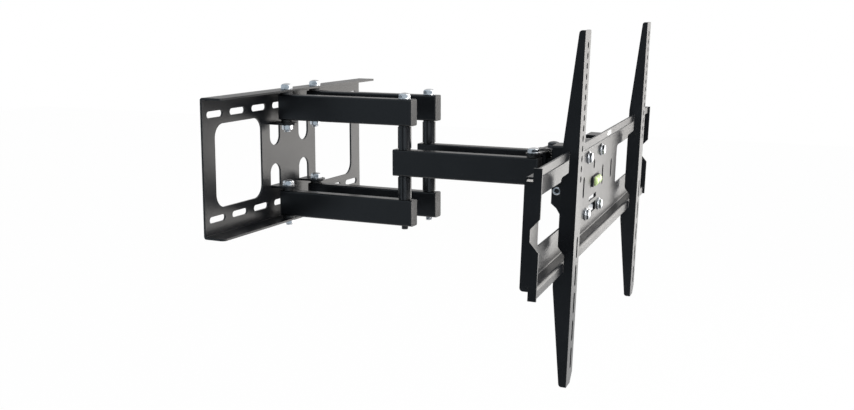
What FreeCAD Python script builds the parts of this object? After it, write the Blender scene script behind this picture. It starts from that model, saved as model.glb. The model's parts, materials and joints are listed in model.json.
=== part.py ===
import FreeCAD, Part
import math
import os
import Sketcher
from FreeCAD import Placement, Rotation, Vector

# Full-motion television wall mount with two parallel folding arms, in millimetres.
# The wall is the plane y = 0, the room lies towards -Y, +X is right and +Z is up.
# The origin is the middle of the wall plate's back face. The arms stand straight out.

doc = FreeCAD.newDocument("tv_mount")
sheet = doc.addObject("Spreadsheet::Sheet", "sizes")


class Size:
    """A length or an angle: its value now, and the sheet formula that gives it."""

    def __init__(self, value, formula):
        self.value = float(value)
        self.formula = formula

    def __float__(self):
        return self.value

    def __add__(self, other):
        return Size(self.value + float(other), f"({self.formula} + {formula_of(other)})")

    def __radd__(self, other):
        return self + other

    def __sub__(self, other):
        return Size(self.value - float(other), f"({self.formula} - {formula_of(other)})")

    def __rsub__(self, other):
        return -self + other

    def __mul__(self, other):
        return Size(self.value * float(other), f"({self.formula} * {formula_of(other)})")

    def __rmul__(self, other):
        return self * other

    def __truediv__(self, other):
        return Size(self.value / float(other), f"({self.formula} / {formula_of(other)})")

    def __neg__(self):
        return Size(-self.value, f"(-1 * {self.formula})")


def formula_of(number):
    """The formula of a size, or the digits of a plain number."""
    if isinstance(number, Size):
        return number.formula
    return repr(float(number))


def size(name, value):
    """Write one driving dimension into the next row of the sheet."""
    size.row += 1
    sheet.set(f"A{size.row}", name)
    sheet.set(f"B{size.row}", str(value))
    sheet.setAlias(f"B{size.row}", name)
    return Size(value, f"sizes.{name}")


size.row = 0

# Wall plate: a folded channel with four tongues lanced out of its web
wall_width = size("wall_width", 454)
wall_height = size("wall_height", 201)
wall_depth = size("wall_depth", 34.5)
wall_sheet = size("wall_sheet", 3)
wall_bend = size("wall_bend", 4)
flange_corner = size("flange_corner", 6)
wall_slot_pitch = size("wall_slot_pitch", 56.2)
wall_slot_length = size("wall_slot_length", 38.8)
wall_slot_width = size("wall_slot_width", 9.5)
wall_slot_row = size("wall_slot_row", 75.3)
wall_window_centre = size("wall_window_centre", 138)
wall_window_width = size("wall_window_width", 120)
wall_window_height = size("wall_window_height", 121)
wall_window_corner = size("wall_window_corner", 20)
tongue_width = size("tongue_width", 28.5)

# Arms: rectangular tube, two stages on each side
pivot_half_spacing = size("pivot_half_spacing", 41.5)
pivot_depth = size("pivot_depth", 25.5)
arm_length = size("arm_length", 200)
tube_width = size("tube_width", 19)
tube_height = size("tube_height", 38.5)
tube_wall = size("tube_wall", 2)
tube_corner = size("tube_corner", 2.5)
pivot_end = size("pivot_end", 9.5)
elbow_end = size("elbow_end", 15.25)
cap_plate = size("cap_plate", 2)
cap_spigot = size("cap_spigot", 5)
cap_play = size("cap_play", 0.1)
washer_height = size("washer_height", 4.4)
face_play = size("face_play", 0.1)

# Pivot bolts, nuts, bushes and spacers
bolt_radius = size("bolt_radius", 5)
running_play = size("running_play", 0.05)
open_play = size("open_play", 0.4)
hole_play = size("hole_play", 0.2)
bush_radius = size("bush_radius", 6.5)
washer_radius = size("washer_radius", 9)
head_radius = size("head_radius", 8.6)
head_height = size("head_height", 7.5)
nut_height = size("nut_height", 8)
thin_nut_height = size("thin_nut_height", 4.5)
weld_nut_radius = size("weld_nut_radius", 7.2)
bolt_tip = size("bolt_tip", 3)
elbow_tip = size("elbow_tip", 5.5)
post_radius = size("post_radius", 9.5)

# Yoke that joins both forearms, and the swivel pin in its middle
yoke_sheet = size("yoke_sheet", 3)
yoke_washer = size("yoke_washer", 3)
yoke_ear = size("yoke_ear", 11)
yoke_front = size("yoke_front", 9)
yoke_relief_half = size("yoke_relief_half", 36)
yoke_web_half = size("yoke_web_half", 25)
yoke_web_back = size("yoke_web_back", 17)
pin_radius = size("pin_radius", 6)
pin_head_radius = size("pin_head_radius", 9)
pin_head_height = size("pin_head_height", 4)
hub_radius = size("hub_radius", 10.5)

# Knuckle: turns on the swivel pin and carries the tilt axis below and in front of it
swivel_angle = size("swivel_angle", 6.75)
tilt_angle = size("tilt_angle", 2)
tilt_forward = size("tilt_forward", 25.4)
tilt_drop = size("tilt_drop", 28.85)
neck_half_width = size("neck_half_width", 8)
neck_half_height = size("neck_half_height", 14)
knuckle_half_width = size("knuckle_half_width", 20.5)
knuckle_front = size("knuckle_front", 38)
knuckle_back = size("knuckle_back", 16.5)
knuckle_top = size("knuckle_top", 34)
knuckle_wall = size("knuckle_wall", 3)
lug_radius = size("lug_radius", 8)
tilt_bolt_radius = size("tilt_bolt_radius", 4)
tilt_head_radius = size("tilt_head_radius", 7)
tilt_head_height = size("tilt_head_height", 4.4)
tilt_nut_radius = size("tilt_nut_radius", 7.2)
tilt_nut_height = size("tilt_nut_height", 6.5)

# Screen plate: a folded sheet with a rail lip along its top and its bottom
plate_reach = size("plate_reach", 71.5)
plate_rise = size("plate_rise", 14.2)
plate_width = size("plate_width", 792)
plate_sheet = size("plate_sheet", 2.5)
plate_bend = size("plate_bend", 4)
rail_front = size("rail_front", 11.7)
rail_top = size("rail_top", 72)
rail_shelf = size("rail_shelf", 62)
rail_foot = size("rail_foot", 77)
low_shelf = size("low_shelf", 64)
sheet_front = size("sheet_front", 25.7)
end_front = size("end_front", 8.8)
end_step = size("end_step", 18.6)
end_high = size("end_high", 56.5)
end_low = size("end_low", 60.7)
end_notch_z = size("end_notch_z", -3)
end_notch_half = size("end_notch_half", 19)
end_notch_slope = size("end_notch_slope", 11.7)
end_notch_depth = size("end_notch_depth", 10.4)
plate_window_inner = size("plate_window_inner", 182)
plate_window_outer = size("plate_window_outer", 329)
plate_window_half = size("plate_window_half", 30)
plate_window_corner = size("plate_window_corner", 8)
slit_pitch = size("slit_pitch", 68.5)
slit_width = size("slit_width", 9)
slit_z = size("slit_z", 0.5)
slit_length = size("slit_length", 29)
middle_slit_z = size("middle_slit_z", 24.5)
middle_slit_length = size("middle_slit_length", 13)
rest_hole_width = size("rest_hole_width", 52)
rest_hole_height = size("rest_hole_height", 13)
rest_hole_z = size("rest_hole_z", -37.5)
small_hole_height = size("small_hole_height", 6.5)
small_hole_z = size("small_hole_z", -22.5)

# Plate bolts and the spirit level
plate_bolt_x = size("plate_bolt_x", 46)
plate_bolt_z = size("plate_bolt_z", 39.4)
plate_bolt_radius = size("plate_bolt_radius", 4)
plate_head_radius = size("plate_head_radius", 7.6)
plate_head_height = size("plate_head_height", 5.3)
plate_washer_radius = size("plate_washer_radius", 8.8)
plate_washer_height = size("plate_washer_height", 1.6)
plate_nut_height = size("plate_nut_height", 6.5)
level_x = size("level_x", 5)
level_z = size("level_z", 1.5)
level_length = size("level_length", 60)
level_cap_length = size("level_cap_length", 7)
level_radius = size("level_radius", 6)
level_cap_radius = size("level_cap_radius", 7.2)
level_proud = size("level_proud", 6)

# Tilt brackets bolted behind the screen plate
bracket_sheet = size("bracket_sheet", 3)
side_play = size("side_play", 0.3)
wing_outer = size("wing_outer", 59)
wing_top = size("wing_top", 62)
wing_hem = size("wing_hem", 5)
wing_hem_depth = size("wing_hem_depth", 16)
wing_window_outer = size("wing_window_outer", 36.5)
wing_bottom = size("wing_bottom", -56)
cheek_top = size("cheek_top", 50)
cheek_top_depth = size("cheek_top_depth", 14)
cheek_turn = size("cheek_turn", -33)
cheek_foot = size("cheek_foot", 61)
cheek_bottom = size("cheek_bottom", -39.5)
cheek_notch_depth = size("cheek_notch_depth", 8)
cheek_notch_top = size("cheek_notch_top", 10)
cheek_notch_bottom = size("cheek_notch_bottom", -51)

# Screen brackets that hang on the rails
strip_length = size("strip_length", 440)
strip_top = size("strip_top", 217)
strip_width = size("strip_width", 34)
strip_sheet = size("strip_sheet", 2.5)
strip_chamfer = size("strip_chamfer", 12)
strip_corner = size("strip_corner", 4)
flange_top_depth = size("flange_top_depth", 7.5)
flange_bottom_depth = size("flange_bottom_depth", 9.5)
flange_hook_depth = size("flange_hook_depth", 20)
flange_low_depth = size("flange_low_depth", 23.5)
hook_rise = size("hook_rise", 7)
hook_drop = size("hook_drop", 8)
hook_play = size("hook_play", 0.3)
bulge_depth = size("bulge_depth", 19.9)
bulge_start = size("bulge_start", 46.5)
bulge_top = size("bulge_top", 39.5)
bulge_bottom = size("bulge_bottom", -45.5)
bulge_end = size("bulge_end", -56)
bulge_corner = size("bulge_corner", 6)
low_taper_top = size("low_taper_top", -97)
strip_slot_x = size("strip_slot_x", 20)
strip_slot_width = size("strip_slot_width", 7)
short_slot_length = size("short_slot_length", 8)
short_slot_first = size("short_slot_first", 199)
short_slot_pitch = size("short_slot_pitch", 12.5)
long_slot_length = size("long_slot_length", 27)
long_slot_first = size("long_slot_first", -48.5)
long_slot_pitch = size("long_slot_pitch", 35.3)

SHORT_SLOTS = 14
LONG_SLOTS = 5
WALL_SLOTS = 8
doc.recompute()

# Levels and places that follow from the sizes
flange_under = wall_height / 2 - wall_sheet
arm_gap = washer_height + face_play
arm_level = flange_under - arm_gap - tube_height / 2
lug_top = arm_level - tube_height / 2 - arm_gap
lug_under = lug_top - wall_sheet
arm_top = arm_level + tube_height / 2
arm_under = arm_level - tube_height / 2
elbow_y = -pivot_depth - arm_length
wrist_y = elbow_y - arm_length
yoke_inner = tube_height / 2 + yoke_washer + face_play
yoke_outer = yoke_inner + yoke_sheet
tongue_half = tongue_width / 2
tongue_tip = lug_under - (pivot_depth + tongue_half - wall_sheet - wall_bend)
sheet_back = sheet_front + plate_sheet
cheek_inner = knuckle_half_width + side_play
axis_y = plate_reach
axis_z = -plate_rise
strip_place = plate_width * 0.308


def head_placement():
    """Frame on the swivel axis at arm level, turned with the swivel."""
    return Placement(Vector(0, float(wrist_y), 0), Rotation(Vector(0, 0, 1), float(swivel_angle)))


def plate_placement():
    """Frame of the screen plate: y = 0 is the front of the brackets, z = 0 its mid height."""
    tilt = Placement(
        Vector(0, -float(tilt_forward), -float(tilt_drop)),
        Rotation(Vector(1, 0, 0), float(tilt_angle)),
    )
    offset = Placement(Vector(0, -float(plate_reach), float(plate_rise)), Rotation())
    return head_placement() * tilt * offset


# Sketch and feature helpers


def bind(target, prop, value):
    """Tie a property to the sheet, or set a plain number."""
    if isinstance(value, Size):
        target.setExpression(prop, value.formula)
    else:
        setattr(target, prop, value)


def new_body(label, placement=None):
    body = doc.addObject("PartDesign::Body", label)
    body.Label = label
    if placement is not None:
        body.Placement = placement
    return body


def origin_feature(body, role):
    return [feature for feature in body.Origin.OriginFeatures if feature.Role == role][0]


def new_sketch(body, plane, offset=None):
    """A sketch on one of the body's origin planes, shifted along the plane's normal."""
    sketch = body.newObject("Sketcher::SketchObject", f"{body.Label}_sketch")
    sketch.AttachmentSupport = [(origin_feature(body, plane), "")]
    sketch.MapMode = "FlatFace"
    if offset is not None:
        sketch.setExpression("AttachmentOffset.Base.z", offset.formula)
    return sketch


def fix(sketch, kind, edge, end, value):
    """Hold one coordinate of a sketch point at a value from the sheet."""
    if float(value) == 0:
        axis = -2 if kind == "DistanceX" else -1
        sketch.addConstraint(Sketcher.Constraint("PointOnObject", edge, end, axis))
        return
    index = sketch.addConstraint(Sketcher.Constraint(kind, -1, 1, edge, end, float(value)))
    if isinstance(value, Size):
        sketch.setExpression(f"Constraints[{index}]", value.formula)


def fix_point(sketch, edge, end, x, y):
    fix(sketch, "DistanceX", edge, end, x)
    fix(sketch, "DistanceY", edge, end, y)


def add_polygon(sketch, points):
    """Closed outline of straight lines through the given points."""
    first = sketch.GeometryCount
    corners = [Vector(float(x), float(y), 0) for x, y in points]
    for start, end in zip(corners, corners[1:] + corners[:1]):
        sketch.addGeometry(Part.LineSegment(start, end), False)
    for number, (x, y) in enumerate(points):
        following = first + (number + 1) % len(points)
        sketch.addConstraint(Sketcher.Constraint("Coincident", first + number, 2, following, 1))
        fix_point(sketch, first + number, 1, x, y)


def add_rectangle(sketch, x_low, x_high, y_low, y_high):
    add_polygon(sketch, [(x_low, y_low), (x_high, y_low), (x_high, y_high), (x_low, y_high)])


def add_circle(sketch, x, y, radius):
    circle = Part.Circle(Vector(float(x), float(y), 0), Vector(0, 0, 1), float(radius))
    index = sketch.addGeometry(circle, False)
    fix_point(sketch, index, 3, x, y)
    radius_index = sketch.addConstraint(Sketcher.Constraint("Radius", index, float(radius)))
    sketch.setExpression(f"Constraints[{radius_index}]", radius.formula)


def add_tongue(sketch, x, half_width, root, centre):
    """Straight-sided tab from root, ended by a half circle about (x, centre)."""
    first = sketch.GeometryCount
    left, right = x - half_width, x + half_width
    corners = [(left, centre), (left, root), (right, root), (right, centre)]
    ends = [Vector(float(u), float(v), 0) for u, v in corners]
    for start, end in zip(ends, ends[1:]):
        sketch.addGeometry(Part.LineSegment(start, end), False)
    middle = Part.Circle(Vector(float(x), float(centre), 0), Vector(0, 0, 1), float(half_width))
    upwards = float(centre) > float(root)
    start_angle = 0 if upwards else math.pi
    arc = sketch.addGeometry(Part.ArcOfCircle(middle, start_angle, start_angle + math.pi), False)
    left_end, right_end = (2, 1) if upwards else (1, 2)
    sketch.addConstraint(Sketcher.Constraint("Coincident", first, 2, first + 1, 1))
    sketch.addConstraint(Sketcher.Constraint("Coincident", first + 1, 2, first + 2, 1))
    sketch.addConstraint(Sketcher.Constraint("Coincident", arc, left_end, first, 1))
    sketch.addConstraint(Sketcher.Constraint("Coincident", arc, right_end, first + 2, 2))
    for number in range(3):
        fix_point(sketch, first + number, 1, *corners[number])
    fix_point(sketch, first + 2, 2, *corners[3])
    fix(sketch, "DistanceY", arc, 3, centre)


def add_slot(sketch, x, y, length, width, upright=False):
    """Slot with round ends about (x, y), lying along the first axis or standing along the second."""
    reach = (length - width) / 2
    radius = width / 2
    along = Vector(0, float(reach), 0) if upright else Vector(float(reach), 0, 0)
    middle = Vector(float(x), float(y), 0)
    turn = math.pi / 2 if upright else 0
    far = Part.Circle(middle + along, Vector(0, 0, 1), float(radius))
    near = Part.Circle(middle - along, Vector(0, 0, 1), float(radius))
    first = sketch.addGeometry(Part.ArcOfCircle(far, turn - math.pi / 2, turn + math.pi / 2), False)
    second = sketch.addGeometry(Part.ArcOfCircle(near, turn + math.pi / 2, turn + 3 * math.pi / 2), False)
    arcs = [sketch.Geometry[index] for index in (first, second)]
    lines = []
    for start, end in ((0, 1), (1, 0)):
        edge = Part.LineSegment(arcs[start].EndPoint, arcs[end].StartPoint)
        lines.append(sketch.addGeometry(edge, False))
    sketch.addConstraint(Sketcher.Constraint("Tangent", first, 2, lines[0], 1))
    sketch.addConstraint(Sketcher.Constraint("Tangent", lines[0], 2, second, 1))
    sketch.addConstraint(Sketcher.Constraint("Tangent", second, 2, lines[1], 1))
    sketch.addConstraint(Sketcher.Constraint("Tangent", lines[1], 2, first, 1))
    if upright:
        fix_point(sketch, first, 3, x, y + reach)
        fix_point(sketch, second, 3, x, y - reach)
    else:
        fix_point(sketch, first, 3, x + reach, y)
        fix_point(sketch, second, 3, x - reach, y)
    index = sketch.addConstraint(Sketcher.Constraint("Radius", first, float(radius)))
    sketch.setExpression(f"Constraints[{index}]", radius.formula)


def pad(body, sketch, length, both_ways=False):
    feature = body.newObject("PartDesign::Pad", f"{body.Label}_pad")
    feature.Profile = sketch
    feature.SideType = "Symmetric" if both_ways else "One side"
    bind(feature, "Length", length)
    return feature


def cut_through(body, sketch):
    """Pocket through the whole body, both ways from the sketch."""
    feature = body.newObject("PartDesign::Pocket", f"{body.Label}_pocket")
    feature.Profile = sketch
    feature.Type = "ThroughAll"
    feature.SideType = "Symmetric"
    return feature


def cut_slab(body, sketch, length):
    """Pocket of a given length, centred on the sketch."""
    feature = body.newObject("PartDesign::Pocket", f"{body.Label}_pocket")
    feature.Profile = sketch
    feature.SideType = "Symmetric"
    bind(feature, "Length", length)
    return feature


def repeat(body, original, axis, length, count, backwards=False):
    """Row of equal features along one of the body's origin axes."""
    feature = body.newObject("PartDesign::LinearPattern", f"{body.Label}_row")
    feature.Originals = [original]
    feature.Direction = (origin_feature(body, axis), [""])
    feature.Reversed = backwards
    bind(feature, "Length", length)
    feature.Occurrences = count
    body.Tip = feature
    return feature


def mirror(body, originals, plane):
    feature = body.newObject("PartDesign::Mirrored", f"{body.Label}_mirror")
    feature.Originals = originals
    feature.MirrorPlane = (origin_feature(body, plane), [""])
    body.Tip = feature
    return feature


def is_along(edge, axis):
    """True for a straight edge that runs along the given axis, 0 to 2."""
    if edge.Curve.TypeId != "Part::GeomLine":
        return False
    run = edge.Vertexes[-1].Point - edge.Vertexes[0].Point
    return abs(abs(run[axis]) - edge.Length) < 1e-6


def round_edges(body, radius, axis, places):
    """Fillet the straight edges along one axis that pass through the given places."""
    doc.recompute()
    others = [number for number in range(3) if number != axis]
    base = body.Tip
    names = []
    for number, edge in enumerate(base.Shape.Edges, 1):
        if not is_along(edge, axis):
            continue
        point = edge.Vertexes[0].Point
        for place in places:
            gap = max(abs(point[other] - float(value)) for other, value in zip(others, place))
            if gap < 1e-3:
                names.append(f"Edge{number}")
                break
    feature = body.newObject("PartDesign::Fillet", f"{body.Label}_fillet")
    feature.Base = (base, names)
    feature.setExpression("Radius", radius.formula)
    return feature


def mirrored(values):
    """Every sign pair of one (first, second) place."""
    first, second = values
    return [(first, second), (first, -second), (-first, second), (-first, -second)]


def solid_cylinder(radius, height, x, y, z):
    """Upright cylinder whose foot is centred on (x, y, z)."""
    cylinder = doc.addObject("Part::Cylinder", "cylinder")
    bind(cylinder, "Radius", radius)
    bind(cylinder, "Height", height)
    place(cylinder, x, y, z)
    return cylinder


def solid_hexagon(radius, height, x, y, z):
    """Upright hexagonal prism whose foot is centred on (x, y, z)."""
    prism = doc.addObject("Part::Prism", "hexagon")
    prism.Polygon = 6
    bind(prism, "Circumradius", radius)
    bind(prism, "Height", height)
    place(prism, x, y, z)
    return prism


def place(target, x, y, z):
    for axis, value in zip("xyz", (x, y, z)):
        if isinstance(value, Size):
            target.setExpression(f"Placement.Base.{axis}", value.formula)
        elif value:
            target.setExpression(f"Placement.Base.{axis}", repr(float(value)))


def join(pieces):
    fused = doc.addObject("Part::MultiFuse", "fused")
    fused.Shapes = pieces
    return fused


def subtract(base, tool):
    difference = doc.addObject("Part::Cut", "cut")
    difference.Base = base
    difference.Tool = tool
    return difference


def ring(outer, inner, height, x, y, z):
    return subtract(solid_cylinder(outer, height, x, y, z), solid_cylinder(inner, height, x, y, z))


def hex_bolt(radius, length, head, height, x, y, z):
    """Bolt with its hexagonal head standing on z and its shank hanging below."""
    return join([solid_hexagon(head, height, x, y, z), solid_cylinder(radius, length, x, y, z - length)])


def hex_nut(radius, bore, height, x, y, z):
    return subtract(solid_hexagon(radius, height, x, y, z), solid_cylinder(bore, height, x, y, z))


nodes = []


def keep(target, label, placement=None):
    """Name a finished sub-part, put it in its place and list it for export."""
    target.Label = label
    if placement is not None:
        target.Placement = placement
    nodes.append(target)
    return target


def keep_group(pieces, label, placement=None):
    """Several equal loose pieces that share one sub-part."""
    group = doc.addObject("Part::Compound", label)
    group.Links = pieces
    return keep(group, label, placement)


# Wall plate


def make_wall_plate():
    body = new_body("wall_plate")
    half = wall_height / 2
    inner = half - wall_sheet
    profile = new_sketch(body, "YZ_Plane")
    outline = [(0, -half), (0, half), (-wall_depth, half), (-wall_depth, inner), (-wall_sheet, inner)]
    outline += [(-wall_sheet, -inner), (-wall_depth, -inner), (-wall_depth, -half)]
    add_polygon(profile, outline)
    pad(body, profile, wall_width, both_ways=True)
    round_edges(body, wall_bend, 0, [(0, half), (0, -half)])
    round_edges(body, wall_bend - wall_sheet, 0, [(-wall_sheet, inner), (-wall_sheet, -inner)])
    round_edges(body, flange_corner, 2, [(wall_width / 2, -wall_depth), (-wall_width / 2, -wall_depth)])
    for level in (lug_under, -lug_top):
        lugs = new_sketch(body, "XY_Plane", level)
        for x in (-pivot_half_spacing, pivot_half_spacing):
            add_tongue(lugs, x, tongue_half, -wall_sheet / 2, -pivot_depth)
        pad(body, lugs, wall_sheet)
    openings = new_sketch(body, "XZ_Plane")
    for x in (-pivot_half_spacing, pivot_half_spacing):
        add_tongue(openings, x, tongue_half, lug_under, tongue_tip + tongue_half)
        add_tongue(openings, x, tongue_half, -lug_under, -tongue_tip - tongue_half)
    cut_through(body, openings)
    windows = new_sketch(body, "XZ_Plane")
    left = wall_window_centre - wall_window_width / 2
    right = wall_window_centre + wall_window_width / 2
    add_rectangle(windows, left, right, -wall_window_height / 2, wall_window_height / 2)
    add_rectangle(windows, -right, -left, -wall_window_height / 2, wall_window_height / 2)
    cut_through(body, windows)
    corners = mirrored((left, wall_window_height / 2)) + mirrored((right, wall_window_height / 2))
    round_edges(body, wall_window_corner, 1, corners)
    slots = new_sketch(body, "XZ_Plane")
    row_half = wall_slot_pitch * (WALL_SLOTS - 1) / 2
    for level in (wall_slot_row, -wall_slot_row):
        add_slot(slots, -row_half, level, wall_slot_length, wall_slot_width)
    first = cut_through(body, slots)
    repeat(body, first, "X_Axis", row_half * 2, WALL_SLOTS)
    holes = new_sketch(body, "XY_Plane")
    for x in (-pivot_half_spacing, pivot_half_spacing):
        add_circle(holes, x, -pivot_depth, bolt_radius + hole_play)
    cut_through(body, holes)
    keep(body, "wall_plate")


def make_shoulder_fasteners():
    upper_bolts, upper_nuts, lower_bolts, lower_nuts, washers = [], [], [], [], []
    top = wall_height / 2
    grip = top - lug_under
    y = -pivot_depth
    for x in (-pivot_half_spacing, pivot_half_spacing):
        length = grip + nut_height + bolt_tip
        upper_bolts.append(hex_bolt(bolt_radius, length, head_radius, head_height, x, y, top))
        upper_nuts.append(hex_nut(head_radius, bolt_radius, nut_height, x, y, lug_under - nut_height))
        length = grip + thin_nut_height + bolt_tip
        lower_bolts.append(hex_bolt(bolt_radius, length, head_radius, head_height, x, y, -lug_under))
        foot = -top - thin_nut_height
        lower_nuts.append(hex_nut(head_radius, bolt_radius, thin_nut_height, x, y, foot))
        for level in (lug_top, flange_under - washer_height, -flange_under, -lug_top - washer_height):
            washers.append(ring(washer_radius, bolt_radius + hole_play, washer_height, x, y, level))
    keep_group(upper_bolts, "upper_shoulder_bolts")
    keep_group(upper_nuts, "upper_shoulder_nuts")
    keep_group(lower_bolts, "lower_shoulder_bolts")
    keep_group(lower_nuts, "lower_shoulder_nuts")
    keep_group(washers, "shoulder_washers")


# Arms


def make_tube(label, tail, nose, root_hole, tip_hole, x, y, z):
    """Tube along -Y from its root pivot at (x, y, z), with a hole at each pivot."""
    body = new_body(label)
    back = tail - cap_plate
    length = back + arm_length + nose - cap_plate
    section = new_sketch(body, "XZ_Plane", -back)
    half_width = tube_width / 2
    half_height = tube_height / 2
    add_rectangle(section, -half_width, half_width, -half_height, half_height)
    pad(body, section, length)
    round_edges(body, tube_corner, 1, mirrored((half_width, half_height)))
    inside = new_sketch(body, "XZ_Plane")
    clear_width = half_width - tube_wall
    clear_height = half_height - tube_wall
    add_rectangle(inside, -clear_width, clear_width, -clear_height, clear_height)
    cut_through(body, inside)
    holes = new_sketch(body, "XY_Plane")
    add_circle(holes, 0, 0, root_hole)
    add_circle(holes, 0, -arm_length, tip_hole)
    cut_through(body, holes)
    keep(body, label, Placement(Vector(float(x), float(y), float(z)), Rotation()))


def make_cap(name, reach, x, y, z, facing_wall):
    """End plug of a tube: a plate as big as the tube, and a spigot cut clear of the pivot bush."""
    body = new_body(name)
    half_width = tube_width / 2
    half_height = tube_height / 2
    plate = new_sketch(body, "XZ_Plane")
    add_rectangle(plate, -half_width, half_width, -half_height, half_height)
    pad(body, plate, cap_plate)
    round_edges(body, tube_corner, 1, mirrored((half_width, half_height)))
    spigot = new_sketch(body, "XZ_Plane", -cap_spigot)
    inset = tube_wall + cap_play
    add_rectangle(spigot, inset - half_width, half_width - inset, inset - half_height, half_height - inset)
    pad(body, spigot, cap_spigot)
    bush = new_sketch(body, "XY_Plane")
    add_circle(bush, 0, reach - cap_plate, bush_radius + side_play)
    cut_through(body, bush)
    turn = 180 if facing_wall else 0
    body.Placement = Placement(Vector(float(x), float(y), float(z)), Rotation(Vector(0, 0, 1), turn))
    return body


def make_tube_caps(name, tail, nose, x, y, z):
    back_face = y + tail - cap_plate
    front_face = y - arm_length - nose + cap_plate
    rear = make_cap(f"{name}_rear", tail, x, back_face, z, True)
    return [rear, make_cap(f"{name}_front", nose, x, front_face, z, False)]


def make_first_stage(side, x):
    """Upper and lower arm of one side, clamped to the elbow post between them."""
    y = -pivot_depth
    bolt_hole = bolt_radius + hole_play
    caps, bushes, spacers = [], [], []
    for name, level in (("upper", arm_level), ("lower", -arm_level)):
        make_tube(f"{side}_{name}_arm", pivot_end, elbow_end, bush_radius, bolt_hole, x, y, level)
        caps += make_tube_caps(f"{side}_{name}_cap", pivot_end, elbow_end, x, y, level)
        foot = level - tube_height / 2
        bushes.append(ring(bush_radius, bolt_radius + running_play, tube_height, x, y, foot))
    keep_group(caps, f"{side}_arm_caps")
    keep_group(bushes, f"{side}_shoulder_bushes")
    spacer = arm_under - tube_height / 2 - face_play
    for foot in (tube_height / 2 + face_play, -arm_under):
        spacers.append(ring(post_radius, bolt_hole, spacer, x, elbow_y, foot))
    keep_group(spacers, f"{side}_elbow_spacers")
    length = arm_top * 2 + elbow_tip
    bolt = hex_bolt(bolt_radius, length, head_radius, head_height, x, elbow_y, arm_top)
    keep(bolt, f"{side}_elbow_bolt")
    weld_nut = ring(weld_nut_radius, bolt_radius, nut_height, x, elbow_y, tube_wall - arm_top)
    keep(weld_nut, f"{side}_elbow_nut")


def make_second_stage(side, x, wrist_play):
    """Forearm of one side, with bushes for the elbow post and the wrist bolt."""
    make_tube(f"{side}_forearm", elbow_end, pivot_end, bush_radius, bush_radius, x, elbow_y, 0)
    caps = make_tube_caps(f"{side}_forearm_cap", elbow_end, pivot_end, x, elbow_y, 0)
    keep_group(caps, f"{side}_forearm_caps")
    foot = -tube_height / 2
    elbow = ring(bush_radius, bolt_radius + running_play, tube_height, x, elbow_y, foot)
    wrist = ring(bush_radius, bolt_radius + wrist_play, tube_height, x, wrist_y, foot)
    keep_group([elbow, wrist], f"{side}_forearm_bushes")


# Yoke, swivel pin and knuckle


def make_yoke():
    body = new_body("yoke")
    for foot in (yoke_inner, -yoke_outer):
        plate = new_sketch(body, "XY_Plane", foot)
        add_slot(plate, 0, 0, (pivot_half_spacing + yoke_ear) * 2, yoke_ear * 2)
        pad(body, plate, yoke_sheet)
        tail = new_sketch(body, "XY_Plane", foot)
        add_rectangle(tail, -yoke_web_half, yoke_web_half, 0, yoke_web_back)
        pad(body, tail, yoke_sheet)
    web = new_sketch(body, "XY_Plane")
    add_rectangle(web, -yoke_web_half, yoke_web_half, yoke_web_back - yoke_sheet, yoke_web_back)
    pad(body, web, yoke_outer * 2, both_ways=True)
    round_edges(body, yoke_sheet, 0, [(yoke_web_back, yoke_outer), (yoke_web_back, -yoke_outer)])
    relief = new_sketch(body, "XY_Plane")
    add_rectangle(relief, -yoke_relief_half, yoke_relief_half, -yoke_ear * 2, -yoke_front)
    cut_through(body, relief)
    holes = new_sketch(body, "XY_Plane")
    add_circle(holes, -pivot_half_spacing, 0, bolt_radius + hole_play)
    add_circle(holes, pivot_half_spacing, 0, bolt_radius + hole_play)
    add_circle(holes, 0, 0, pin_radius + hole_play)
    cut_through(body, holes)
    keep(body, "yoke", Placement(Vector(0, float(wrist_y), 0), Rotation()))


def make_wrist_fasteners():
    length = yoke_outer * 2 + nut_height + bolt_tip
    bolts, nuts, washers = [], [], []
    for x in (-pivot_half_spacing, pivot_half_spacing):
        bolts.append(hex_bolt(bolt_radius, length, head_radius, head_height, x, wrist_y, yoke_outer))
        foot = -yoke_outer - nut_height
        nuts.append(hex_nut(head_radius, bolt_radius, nut_height, x, wrist_y, foot))
        for level in (yoke_inner - yoke_washer, -yoke_inner):
            washers.append(ring(washer_radius, bolt_radius + hole_play, yoke_washer, x, wrist_y, level))
    keep_group(bolts, "wrist_bolts")
    keep_group(nuts, "wrist_nuts")
    keep_group(washers, "wrist_washers")
    foot = -yoke_outer - pin_head_height
    head = solid_cylinder(pin_head_radius, pin_head_height, 0, wrist_y, yoke_outer)
    shank = solid_cylinder(pin_radius, yoke_outer * 2 + pin_head_height, 0, wrist_y, foot)
    keep(join([head, shank]), "swivel_pin")
    keep(ring(pin_head_radius, pin_radius, pin_head_height, 0, wrist_y, foot), "swivel_collar")


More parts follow.
